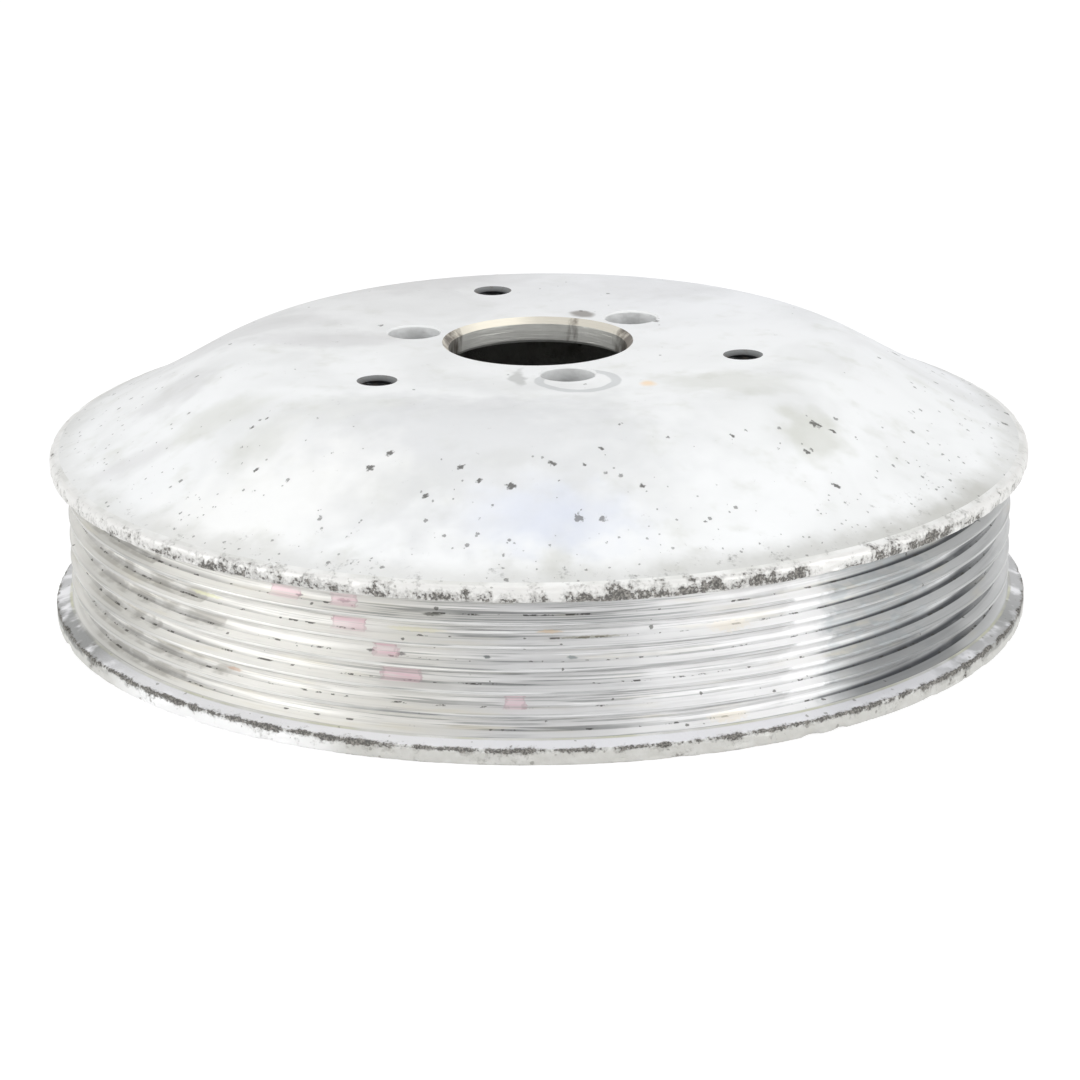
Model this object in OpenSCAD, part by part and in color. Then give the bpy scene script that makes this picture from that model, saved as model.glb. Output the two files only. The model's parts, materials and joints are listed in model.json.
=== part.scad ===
// Water pump pulley for a ribbed belt: one dished aluminium piece, standing on its open side.
// Lengths are in millimetres and angles in degrees. +Z runs up the shaft's axis, and the origin is
// the middle of the plane that the pulley stands on.

/* [Rim] */
// Outside diameter of the two flanges that keep the belt on
flange_d = 159; // [145:1:180]
// How far the flanges stand out past the ridges between the grooves
flange_lip = 2.6; // [1.6:0.1:4]
// Height of the lower flange at its outer edge
lower_flange_h = 2.5; // [1.8:0.1:4]
// Rise of the lower flange's inner face, from its outer edge in to the first groove
lower_flange_rise = 0.8; // [0.1:0.05:1.2]
// Height of the upper flange's outer face
upper_flange_h = 2; // [1.6:0.1:4]
// Rise of the upper flange's inner face, from the last groove out to its outer edge
upper_flange_rise = 0.85; // [0.3:0.05:2]
// Radius on the outer edges of the lower flange and under the upper one
flange_edge_r = 0.35; // [0.1:0.05:0.6]
// Radius where the upper flange turns over into the web
flange_top_r = 0.9; // [0.4:0.1:1.4]
// Wall left between the bottom of the grooves and the hollow
rim_wall = 4.8; // [2.5:0.1:8]
// Radius on the hollow's lower edge
mouth_edge_r = 0.8; // [0.2:0.1:1.5]

/* [Grooves] */
// Number of belt grooves
groove_count = 6; // [3:1:8]
// Distance from one groove to the next
groove_pitch = 3.56; // [3.3:0.01:4.7]
// Angle between the two flanks of a groove
groove_angle = 40; // [34:1:46]
// Height of the land on top of each ridge, before its edges are rounded
ridge_land = 0.5; // [0.3:0.05:1.2]
// Radius on the edges of the ridges
ridge_edge_r = 0.25; // [0.1:0.05:0.3]
// Radius of the rounded bottom of each groove
groove_root_r = 1.05; // [0.3:0.05:1.2]

/* [Web] */
// Rise of the dished web, from the upper flange's edge to the hub face
web_rise = 15.8; // [10:0.1:24]
// Thickness of the web and of the hub plate
web_t = 4.2; // [3:0.1:6]
// Slope of the web where it meets the upper flange
web_foot_angle = 22; // [12:1:32]
// Length of the sweep up from the upper flange
web_foot_reach = 22; // [12:0.5:28]
// Length of the turn down from the flat hub face
web_shoulder_reach = 13.8; // [8:0.1:22]
// Radius in the hollow's corner, between the rim and the web
hollow_corner_r = 4; // [1:0.5:7]

/* [Hub] */
// Diameter of the flat hub face
hub_face_d = 83.4; // [78:0.2:96]
// Diameter of the bore that fits over the pump's spigot
bore_d = 29; // [22:0.1:31]
// Chamfer at the bore's upper edge
bore_top_chamfer = 1; // [0.3:0.1:1.5]
// Chamfer at the bore's lower edge
bore_bottom_chamfer = 0.5; // [0.2:0.1:1]

/* [Holes] */
// Number of bolt holes, and of threaded puller holes midway between them
hole_count = 3; // [3:1:6]
// Turn of the first bolt hole from +X
bolt_turn = 42.8; // [0:0.1:119]
// Diameter of the circle through the bolt holes
bolt_pcd = 42.3; // [41:0.1:52]
// Diameter of the bolt holes
bolt_hole_d = 8.6; // [6:0.1:9.4]
// Chamfer at the upper edge of each bolt hole
bolt_hole_chamfer = 0.3; // [0.1:0.05:0.8]
// Diameter of the circle through the puller holes
puller_pcd = 68.6; // [60:0.1:74]
// Inside diameter of the puller holes' threads
puller_hole_d = 5; // [4:0.1:6.6]
// Countersink at the upper edge of each puller hole
puller_hole_chamfer = 0.7; // [0.2:0.05:1.2]

/* [Hidden] */

// How many pieces each round stretch of the section is drawn with
web_steps = 24;
arc_step_angle = 15;
// How far a cutter runs past the faces that it cuts
overcut = 1;

// Heights of the rim, from the resting plane up
groove_mouth = groove_pitch - ridge_land;
first_groove_z = lower_flange_h + lower_flange_rise + groove_mouth / 2;
last_groove_z = first_groove_z + (groove_count - 1) * groove_pitch;
upper_flange_z = last_groove_z + groove_mouth / 2 + upper_flange_rise;
rim_top_z = upper_flange_z + upper_flange_h;
hub_top_z = rim_top_z + web_rise;
hub_under_z = hub_top_z - web_t;

// Flat that the rounded bottom of a groove takes the place of
groove_root = 2 * groove_root_r * tan((90 - groove_angle / 2) / 2);

// Radii, from the outside in
flange_r = flange_d / 2;
ridge_r = flange_r - flange_lip;
groove_depth = (groove_mouth - groove_root) / 2 / tan(groove_angle / 2);
root_r = ridge_r - groove_depth;
hollow_r = root_r - rim_wall;
hub_face_r = hub_face_d / 2;
bore_r = bore_d / 2;

// The web's upper line is a cubic curve from the hub face's edge to the upper flange's edge,
// steered by the two points between its ends
web_ends = [[hub_face_r, hub_top_z], [flange_r, rim_top_z]];
web_steer = [
    web_ends[0] + [web_shoulder_reach, 0],
    web_ends[1] + web_foot_reach * [-cos(web_foot_angle), sin(web_foot_angle)]
];

function unit(v) = v / norm(v);

// A point of the web's upper line, with t from 0 at the hub to 1 at the flange
function web_point(t) =
    pow(1 - t, 3) * web_ends[0]
    + 3 * pow(1 - t, 2) * t * web_steer[0]
    + 3 * (1 - t) * pow(t, 2) * web_steer[1]
    + pow(t, 3) * web_ends[1];

// The direction of that line at the same point
function web_direction(t) = unit(
    pow(1 - t, 2) * (web_steer[0] - web_ends[0])
    + 2 * (1 - t) * t * (web_steer[1] - web_steer[0])
    + pow(t, 2) * (web_ends[1] - web_steer[1])
);

// The point straight through the web from it, on the hollow's side
function web_under_point(t) =
    let (along = web_direction(t))
    web_point(t) + web_t * [along[1], -along[0]];

// Replaces the corner b between a and c by an arc, which is limited by the sides that it joins
function corner_arc(a, b, c, radius) =
    let (
        to_a = unit(a - b),
        to_c = unit(c - b),
        half = acos(to_a * to_c) / 2,
        reach = min(radius / tan(half), 0.49 * norm(a - b), 0.49 * norm(c - b)),
        centre = b + unit(to_a + to_c) * reach / cos(half),
        first = b + to_a * reach - centre,
        last = b + to_c * reach - centre,
        turn = 180 - 2 * half,
        steps = ceil(turn / arc_step_angle)
    )
    [for (k = [0 : steps])
        centre + (first * sin(turn * (1 - k / steps)) + last * sin(turn * k / steps)) / sin(turn)];

// Turns corners of the form [r, z, radius] into the points of an outline
function rounded(corners) =
    let (n = len(corners))
    [for (i = [0 : n - 1])
        let (
            before = corners[(i + n - 1) % n],
            here = corners[i],
            after = corners[(i + 1) % n]
        )
        each here[2] == 0
            ? [[here[0], here[1]]]
            : corner_arc([before[0], before[1]], [here[0], here[1]], [after[0], after[1]], here[2])];

// The four corners of a groove, from the ridge below it to the ridge above it
function groove_corners(z) = [
    [ridge_r, z - groove_mouth / 2, ridge_edge_r],
    [root_r, z - groove_root / 2, groove_root_r],
    [root_r, z + groove_root / 2, groove_root_r],
    [ridge_r, z + groove_mouth / 2, ridge_edge_r]
];

// The pulley's section, from the hollow's lower edge round the rim, over the web and back under it
rim_corners = [
    [hollow_r, 0, mouth_edge_r],
    [flange_r, 0, flange_edge_r],
    [flange_r, lower_flange_h, flange_edge_r],
    for (k = [0 : groove_count - 1])
        each groove_corners(first_groove_z + k * groove_pitch),
    [flange_r, upper_flange_z, flange_edge_r],
    [flange_r, rim_top_z, flange_top_r]
];
web_corners = [
    for (k = [1 : web_steps])
        let (p = web_point(1 - k / web_steps))
        [p[0], p[1], 0]
];
bore_corners = [
    [bore_r + bore_top_chamfer, hub_top_z, 0],
    [bore_r, hub_top_z - bore_top_chamfer, 0],
    [bore_r, hub_under_z + bore_bottom_chamfer, 0],
    [bore_r + bore_bottom_chamfer, hub_under_z, 0]
];
under_line = [for (k = [0 : web_steps]) web_under_point(k / web_steps)];
under_corners = [
    for (p = under_line)
        if (p[0] < hollow_r - 1)
            [p[0], p[1], 0],
    [hollow_r, lookup(hollow_r, under_line), hollow_corner_r]
];

// The whole turned form: rim, grooves, web, hub plate and bore
module turned_body() {
    rotate_extrude($fn = 180)
        polygon(rounded(concat(rim_corners, web_corners, bore_corners, under_corners)));
}

// Straight holes through the hub plate, evenly spaced on a circle and chamfered at the hub face
module hole_circle(pcd, hole_d, chamfer, turn) {
    for (k = [0 : hole_count - 1])
        rotate(turn + k * 360 / hole_count)
            translate([pcd / 2, 0, hub_top_z]) {
                translate([0, 0, -web_t - overcut])
                    cylinder(d = hole_d, h = web_t + 2 * overcut, $fn = 48);
                translate([0, 0, -chamfer])
                    cylinder(d1 = hole_d, d2 = hole_d + 2 * (chamfer + overcut), h = chamfer + overcut, $fn = 48);
            }
}

module pulley() {
    color("gainsboro")
    difference() {
        turned_body();
        hole_circle(bolt_pcd, bolt_hole_d, bolt_hole_chamfer, bolt_turn);
        hole_circle(puller_pcd, puller_hole_d, puller_hole_chamfer, bolt_turn + 180 / hole_count);
    }
}

pulley();
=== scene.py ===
import json
import math
import random

import bpy
import numpy as np
from mathutils import Matrix, Vector, noise
from mathutils.geometry import delaunay_2d_cdt


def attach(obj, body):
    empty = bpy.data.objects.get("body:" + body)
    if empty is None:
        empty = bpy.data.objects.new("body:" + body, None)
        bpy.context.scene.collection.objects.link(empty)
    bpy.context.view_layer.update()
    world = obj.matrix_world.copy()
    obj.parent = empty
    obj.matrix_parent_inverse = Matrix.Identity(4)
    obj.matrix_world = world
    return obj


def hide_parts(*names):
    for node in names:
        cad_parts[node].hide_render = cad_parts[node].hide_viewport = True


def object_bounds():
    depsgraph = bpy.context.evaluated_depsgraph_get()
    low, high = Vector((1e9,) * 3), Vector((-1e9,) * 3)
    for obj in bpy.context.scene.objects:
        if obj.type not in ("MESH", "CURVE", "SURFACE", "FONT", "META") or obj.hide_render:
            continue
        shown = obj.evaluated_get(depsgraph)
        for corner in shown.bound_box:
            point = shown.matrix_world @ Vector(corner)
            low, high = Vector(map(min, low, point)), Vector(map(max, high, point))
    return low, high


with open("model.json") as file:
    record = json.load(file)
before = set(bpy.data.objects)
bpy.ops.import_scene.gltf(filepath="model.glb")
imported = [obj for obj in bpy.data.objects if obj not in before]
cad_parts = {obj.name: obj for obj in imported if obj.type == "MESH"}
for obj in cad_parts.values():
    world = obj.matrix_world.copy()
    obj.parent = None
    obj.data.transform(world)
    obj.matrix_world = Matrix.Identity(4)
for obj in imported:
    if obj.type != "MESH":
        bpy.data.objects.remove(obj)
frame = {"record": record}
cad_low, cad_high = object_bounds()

# Sizes are in millimetres and the scene is in metres. Azimuth 0 is the front, which faces -Y, and
# azimuth 90 is the right, which faces +X.
MM = 0.001

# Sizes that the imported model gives
MOUNTS = {m["name"]: m for m in frame["record"]["mounts"]}
BOLT, PULLER = MOUNTS["bolt_holes"], MOUNTS["puller_holes"]
flange_r = min(-cad_low.x, cad_high.x, -cad_low.y, cad_high.y) / MM
hub_top_z = cad_high.z / MM
bore_r = MOUNTS["bore"]["dims"]["r_mm"]
hub_under_z = MOUNTS["pump_seat"]["pos_m"][2] / MM
hole_count = BOLT["dims"]["count"]
bolt_circle_r = BOLT["dims"]["pcd_mm"] / 2
bolt_hole_r = BOLT["dims"]["hole_r_mm"]
bolt_hole_chamfer = hub_top_z - BOLT["pos_m"][2] / MM
puller_circle_r = PULLER["dims"]["pcd_mm"] / 2
puller_hole_r = PULLER["dims"]["hole_r_mm"]
puller_hole_chamfer = hub_top_z - PULLER["pos_m"][2] / MM

# The rest of the section, as the solid has it
flange_lip = 2.6
lower_flange_h = 2.5
lower_flange_rise = 0.8
upper_flange_h = 2.0
upper_flange_rise = 0.85
flange_edge_r = 0.35
flange_top_r = 0.9
rim_wall = 4.8
mouth_edge_r = 0.8
groove_count = 6
groove_pitch = 3.56
groove_angle = 40
ridge_land = 0.5
ridge_edge_r = 0.25
groove_root_r = 1.05
web_foot_angle = 22
web_foot_reach = 22
web_shoulder_reach = 13.8
hollow_corner_r = 4
hub_face_r = 41.7
bore_top_chamfer = 1.0
bore_bottom_chamfer = 0.5
bolt_turn = 42.8
thread_pitch = 1.0
thread_depth = 0.5
# Width of the lower flange's strip of resting face that carries the fine columns
rest_strip = 1.5

web_t = hub_top_z - hub_under_z
groove_mouth = groove_pitch - ridge_land
groove_root = 2 * groove_root_r * math.tan(math.radians(90 - groove_angle / 2) / 2)
first_groove_z = lower_flange_h + lower_flange_rise + groove_mouth / 2
last_groove_z = first_groove_z + (groove_count - 1) * groove_pitch
upper_flange_z = last_groove_z + groove_mouth / 2 + upper_flange_rise
rim_top_z = upper_flange_z + upper_flange_h
ridge_r = flange_r - flange_lip
root_r = ridge_r - (groove_mouth - groove_root) / 2 / math.tan(math.radians(groove_angle / 2))
hollow_r = root_r - rim_wall
# Depth at which a groove's straight flank passes into its rounded bottom
flank_end = ridge_r - root_r - groove_root_r * (1 - math.sin(math.radians(groove_angle / 2)))
# Half the height that the rounded bottom takes up, with a little over
bottom_half = 1.03

# How finely the mesh is turned: columns round the pulley, and the longest step along its section
edge_columns = 720
body_columns = 240
inner_columns = 120
hole_columns = 40
edge_step = 0.34
body_step = 1.3
inner_step = 3.0
bore_step = 0.5
thread_step = 0.125
hole_step = 1.4
web_steps = 40
arc_step_angle = 22.5
# How far from the flanges' edges the fine columns and the dents reach
edge_reach = 2.6
# Number of dents in each flange's edges, and the depth of the roughness between them
dent_count = 300
rough_depth = 0.10
# Edges that turn by more than this many degrees stay sharp
sharp_angle = 38


# The section

def unit(v):
    return v / np.linalg.norm(v)


def web_ends():
    """The four points of the web's upper line: its two ends and the two that steer it."""
    hub, flange = np.array([hub_face_r, hub_top_z]), np.array([flange_r, rim_top_z])
    slope = math.radians(web_foot_angle)
    shoulder = hub + np.array([web_shoulder_reach, 0])
    foot = flange + web_foot_reach * np.array([-math.cos(slope), math.sin(slope)])
    return hub, shoulder, foot, flange


def web_point(t):
    a, b, c, d = web_ends()
    return (1 - t) ** 3 * a + 3 * (1 - t) ** 2 * t * b + 3 * (1 - t) * t ** 2 * c + t ** 3 * d


def web_under_point(t):
    a, b, c, d = web_ends()
    along = unit((1 - t) ** 2 * (b - a) + 2 * (1 - t) * t * (c - b) + t ** 2 * (d - c))
    return web_point(t) + web_t * np.array([along[1], -along[0]])


def corner_arc(a, b, c, radius):
    """The points of an arc that replaces the corner b between a and c."""
    to_a, to_c = unit(a - b), unit(c - b)
    half = math.acos(np.clip(to_a @ to_c, -1, 1)) / 2
    reach = min(radius / math.tan(half), 0.49 * np.linalg.norm(a - b), 0.49 * np.linalg.norm(c - b))
    centre = b + unit(to_a + to_c) * reach / math.cos(half)
    first, last = b + to_a * reach - centre, b + to_c * reach - centre
    turn = math.pi - 2 * half
    steps = max(2, math.ceil(math.degrees(turn) / arc_step_angle))
    shares = [k / steps for k in range(steps + 1)]
    return [centre + (first * math.sin(turn * (1 - s)) + last * math.sin(turn * s)) / math.sin(turn)
            for s in shares]


def rounded(corners):
    """Turns an open run of corners (r, z, radius) into points. The two ends stay sharp."""
    places = [np.array(c[:2], float) for c in corners]
    made = [places[0]]
    for before, here, after, corner in zip(places, places[1:], places[2:], corners[1:]):
        made += [here] if corner[2] == 0 else corner_arc(before, here, after, corner[2])
    return made + [places[-1]]


def groove_corners(z):
    """The four corners of a groove, from the ridge above it to the ridge below it."""
    return [
        (ridge_r, z + groove_mouth / 2, ridge_edge_r),
        (root_r, z + groove_root / 2, groove_root_r),
        (root_r, z - groove_root / 2, groove_root_r),
        (ridge_r, z - groove_mouth / 2, ridge_edge_r),
    ]


def spaced(points, step):
    """Adds points so that none is further than step from the next."""
    made = [points[0]]
    for a, b in zip(points, points[1:]):
        parts = max(1, math.ceil(np.linalg.norm(b - a) / step))
        made += [a + (b - a) * k / parts for k in range(1, parts + 1)]
    return made


def flattened(points, margin=0.12):
    """Adds a point near both ends of each long step, so that smooth shading leaves the step flat."""
    made = [points[0]]
    for a, b in zip(points, points[1:]):
        share = margin / np.linalg.norm(b - a)
        made += [a + (b - a) * share, b + (a - b) * share, b] if share < 0.2 else [b]
    return made


def section():
    """The section from the hub face's edge over the web, down the rim and back under the web, as
    stretches (material, columns, points) in which each starts where the last one ends."""
    web = [web_point(k / web_steps) for k in range(web_steps + 1)]
    split = next(k for k, p in enumerate(web) if p[0] > flange_r - edge_reach)
    crown = [(*p, 0) for p in web[split:-1]]
    heights = [first_groove_z + k * groove_pitch for k in reversed(range(groove_count))]
    band = flattened(rounded(
        [(flange_r, upper_flange_z, 0)]
        + [corner for z in heights for corner in groove_corners(z)]
        + [(flange_r, lower_flange_h, 0)])[1:-1])
    upper_edge = rounded(crown + [
        (flange_r, rim_top_z, flange_top_r),
        (flange_r, upper_flange_z, flange_edge_r),
        (*band[0], 0),
    ])
    lower_edge = rounded([
        (*band[-1], 0),
        (flange_r, lower_flange_h, flange_edge_r),
        (flange_r, 0, flange_edge_r),
        (flange_r - rest_strip, 0, 0),
    ])
    under = [web_under_point(k / web_steps) for k in range(web_steps + 1)]
    ceiling = np.interp(hollow_r, [p[0] for p in under], [p[1] for p in under])
    hollow = rounded(
        [(flange_r - rest_strip, 0, 0), (hollow_r, 0, mouth_edge_r), (hollow_r, ceiling, hollow_corner_r)]
        + [(*p, 0) for p in reversed(under) if p[0] < hollow_r - 1])
    return [
        ("cast_face", body_columns, spaced(web[:split + 1], body_step)),
        ("flange_edge", edge_columns, spaced(upper_edge, edge_step)),
        ("belt_band", body_columns, band),
        ("flange_edge", edge_columns, spaced(lower_edge, edge_step)),
        ("underside", inner_columns, spaced(hollow, inner_step)),
    ]


# Wear on the flanges' edges, as real dents

def flange_distance(r, z):
    """How far a point of the section lies from the nearer flange's outer edges."""
    gap_r = max(0, flange_r - r)
    upper = math.hypot(gap_r, max(0, upper_flange_z - z, z - rim_top_z))
    lower = math.hypot(gap_r, max(0, z - lower_flange_h))
    return min(upper, lower)


def edge_dents(rows, azimuth, seed):
    """How deep each point of an edge's rows is worn, in rows by columns. It is nothing at the
    stretch's two ends, where the plain columns join it."""
    draw = random.Random(seed)
    points = np.array(rows)
    steps = np.linalg.norm(np.diff(points, axis=0), axis=1)
    along = np.concatenate([[0], np.cumsum(steps)])
    reach = np.array([flange_distance(r, z) for r, z in rows])
    weight = np.clip(1 - reach / edge_reach, 0, 1)
    weight[0] = weight[-1] = 0
    depth = np.zeros((len(rows), len(azimuth)))
    for i, (r, z) in enumerate(rows):
        if weight[i] == 0:
            continue
        for j, a in enumerate(azimuth):
            turn = math.radians(a)
            place = Vector((r * math.sin(turn), -r * math.cos(turn), z * 1.6))
            rough = noise.fractal(place * 0.9, 0.6, 2.2, 4) + 0.5 * noise.noise(place * 0.12)
            depth[i, j] = rough_depth * max(0, rough)
    mean_r = points[:, 0].mean()
    outer = [s for s, gap in zip(along, reach) if gap < 0.6]
    for _ in range(dent_count):
        centre, row = draw.uniform(-180, 180), draw.uniform(min(outer), max(outer))
        length, height = draw.uniform(0.5, 2.2), draw.uniform(0.25, 0.8)
        deep = draw.uniform(0.06, 0.22) if draw.random() < 0.85 else draw.uniform(0.25, 0.42)
        gap = (azimuth - centre + 180) % 360 - 180
        across = np.radians(gap) * mean_r / length
        near = np.abs(across) < 1
        bowl = 1 - across[near][None, :] ** 2 - ((along - row) / height)[:, None] ** 2
        depth[:, near] = np.maximum(depth[:, near], deep * np.clip(bowl, 0, 1) ** 0.7)
    return depth * weight[:, None]


# The mesh

class Turning:
    """Gathers the vertices and faces of a turned body."""

    def __init__(self):
        self.places, self.worn, self.faces, self.zones = [], [], [], []

    def row(self, points, worn=None):
        """Adds a closed row of points in millimetres and returns its vertex numbers."""
        start = len(self.places)
        self.places += [tuple(float(c) * MM for c in p) for p in points]
        self.worn += [0.0] * len(points) if worn is None else [float(w) for w in worn]
        return list(range(start, len(self.places)))

    def face(self, corners, zone):
        self.faces.append(tuple(corners))
        self.zones.append(zone)

    def bridge(self, upper, lower, zone):
        """Joins two closed rows. One may have a whole number of times the columns of the other."""
        if len(upper) < len(lower):
            fine, coarse, flip = lower, upper, True
        else:
            fine, coarse, flip = upper, lower, False
        ratio = len(fine) // len(coarse)
        for j in range(len(coarse)):
            near, far = coarse[j], coarse[(j + 1) % len(coarse)]
            run = [fine[(j * ratio + k) % len(fine)] for k in range(ratio + 1)]
            if ratio == 1:
                made = [(run[0], run[1], far, near)]
            else:
                middle = ratio // 2
                made = [(a, b, near if k <= middle else far)
                        for k, (a, b) in enumerate(zip(run, run[1:]))]
                made.append((run[middle + 1], far, near))
            for corners in made:
                self.face(reversed(corners) if flip else corners, zone)


def ring(r, z, columns, centre=(0, 0)):
    turn = 2 * np.pi * np.arange(columns) / columns
    x, y = centre[0] + r * np.sin(turn), centre[1] - r * np.cos(turn)
    return np.stack([x, y, np.full(columns, z)], axis=1)


def turn_section(body):
    """Turns the section's stretches and returns the first and the last row."""
    rows, zone_of_gap = [], []
    for number, (zone, columns, points) in enumerate(section()):
        azimuth = np.arange(columns) * 360 / columns
        depth = np.zeros((len(points), columns))
        if zone == "flange_edge":
            depth = edge_dents(points, azimuth, seed=number)
            slope = np.gradient(np.array(points), axis=0)
            inward = np.stack([slope[:, 1], -slope[:, 0]], axis=1)
            inward /= np.linalg.norm(inward, axis=1)[:, None]
        for i, (r, z) in enumerate(points):
            if i == 0 and rows:
                continue
            places = ring(r, z, columns)
            if depth[i].any():
                places[:, :2] *= (1 + depth[i] * inward[i][0] / r)[:, None]
                places[:, 2] += depth[i] * inward[i][1]
            rows.append(body.row(places, depth[i]))
            zone_of_gap.append(zone)
    for upper, lower, zone in zip(rows, rows[1:], zone_of_gap[1:]):
        body.bridge(upper, lower, zone)
    return rows[0], rows[-1]


def turn_bore(body):
    """Turns the bore's chamfers and wall and returns its first and last row."""
    points = [np.array(p) for p in (
        (bore_r + bore_top_chamfer, hub_top_z),
        (bore_r, hub_top_z - bore_top_chamfer),
        (bore_r, hub_under_z + bore_bottom_chamfer),
        (bore_r + bore_bottom_chamfer, hub_under_z),
    )]
    rows = [body.row(ring(r, z, inner_columns)) for r, z in spaced(points, bore_step)]
    for upper, lower in zip(rows, rows[1:]):
        body.bridge(lower, upper, "bore_wall")
    return rows[0], rows[-1]


def turn_hole(body, centre, hole_r, chamfer, thread=0.0):
    """Makes a hole's wall, plain or threaded, and returns its first and last row."""
    turn = np.arange(hole_columns) / hole_columns
    heights = np.arange(hub_under_z, hub_top_z - chamfer, thread_step if thread else hole_step)
    heights = np.append(heights, hub_top_z - chamfer)
    rows = []
    for z in heights:
        phase = np.mod((z - hub_under_z) / thread_pitch - turn, 1)
        fade = np.clip(min(z - hub_under_z, hub_top_z - chamfer - z) / 0.4, 0, 1)
        r = hole_r + thread * fade * np.clip(2.2 * np.minimum(phase, 1 - phase) - 0.1, 0, 1)
        places = ring(1, z, hole_columns)
        places[:, :2] = places[:, :2] * r[:, None] + np.array(centre)
        rows.append(body.row(places))
    rows.append(body.row(ring(hole_r + chamfer, hub_top_z, hole_columns, centre)))
    for lower, upper in zip(rows, rows[1:]):
        body.bridge(lower, upper, "thread_wall" if thread else "hole_wall")
    return rows[-1], rows[0]


def hole_centres(circle_r, turn):
    angles = [math.radians(turn + k * 360 / hole_count) for k in range(hole_count)]
    return [(circle_r * math.cos(a), circle_r * math.sin(a)) for a in angles]


def fill_plate(body, outer, inner, holes, zone, upward):
    """Fills the flat ring between an outer and an inner row, round the holes' rows."""
    loops = [outer, inner] + holes
    numbers = [n for loop in loops for n in loop]
    flat = [Vector(body.places[n][:2]) for n in numbers]
    edges, start = [], 0
    for loop in loops:
        edges += [(start + k, start + (k + 1) % len(loop)) for k in range(len(loop))]
        start += len(loop)
    made = delaunay_2d_cdt(flat, edges, [], 0, 1e-9)
    source = [ids[0] for ids in made[3]]
    openings = []
    for loop in loops[1:]:
        places = np.array([body.places[n][:2] for n in loop])
        centre = places.mean(axis=0)
        openings.append((centre, np.linalg.norm(places[0] - centre)))
    for triangle in made[2]:
        corners = [numbers[source[k]] for k in triangle]
        middle = np.mean([body.places[n][:2] for n in corners], axis=0)
        if any(np.linalg.norm(middle - centre) < reach for centre, reach in openings):
            continue
        body.face(corners if upward else reversed(corners), zone)


ZONES = ["cast_face", "flange_edge", "belt_band", "underside", "bore_wall", "hole_wall", "thread_wall"]


def build_pulley(materials):
    """The whole pulley as one closed mesh that stands for the CAD solid."""
    body = Turning()
    face_row, under_row = turn_section(body)
    bore_top, bore_bottom = turn_bore(body)
    bolt_rows = [turn_hole(body, c, bolt_hole_r, bolt_hole_chamfer)
                 for c in hole_centres(bolt_circle_r, bolt_turn)]
    puller_rows = [turn_hole(body, c, puller_hole_r, puller_hole_chamfer, thread_depth)
                   for c in hole_centres(puller_circle_r, bolt_turn + 180 / hole_count)]
    holes = bolt_rows + puller_rows
    fill_plate(body, face_row, bore_top, [top for top, _ in holes], "cast_face", True)
    fill_plate(body, under_row, bore_bottom, [bottom for _, bottom in holes], "underside", False)

    mesh = bpy.data.meshes.new("pulley_finish")
    mesh.from_pydata(body.places, [], body.faces)
    for zone in ZONES:
        mesh.materials.append(materials[zone])
    mesh.polygons.foreach_set("material_index", [ZONES.index(z) for z in body.zones])
    mesh.polygons.foreach_set("use_smooth", [True] * len(body.faces))
    mesh.set_sharp_from_angle(angle=math.radians(sharp_angle))
    worn = mesh.attributes.new("worn", "FLOAT", "POINT")
    worn.data.foreach_set("value", body.worn)
    mesh.validate()
    piece = bpy.data.objects.new("pulley_finish", mesh)
    bpy.context.scene.collection.objects.link(piece)
    return piece


# Materials

def tone(red, green, blue):
    """A colour given in display values from 0 to 255."""
    values = [c / 255 for c in (red, green, blue)]
    linear = [c / 12.92 if c <= 0.04045 else ((c + 0.055) / 1.055) ** 2.4 for c in values]
    return (*linear, 1.0)


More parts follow.
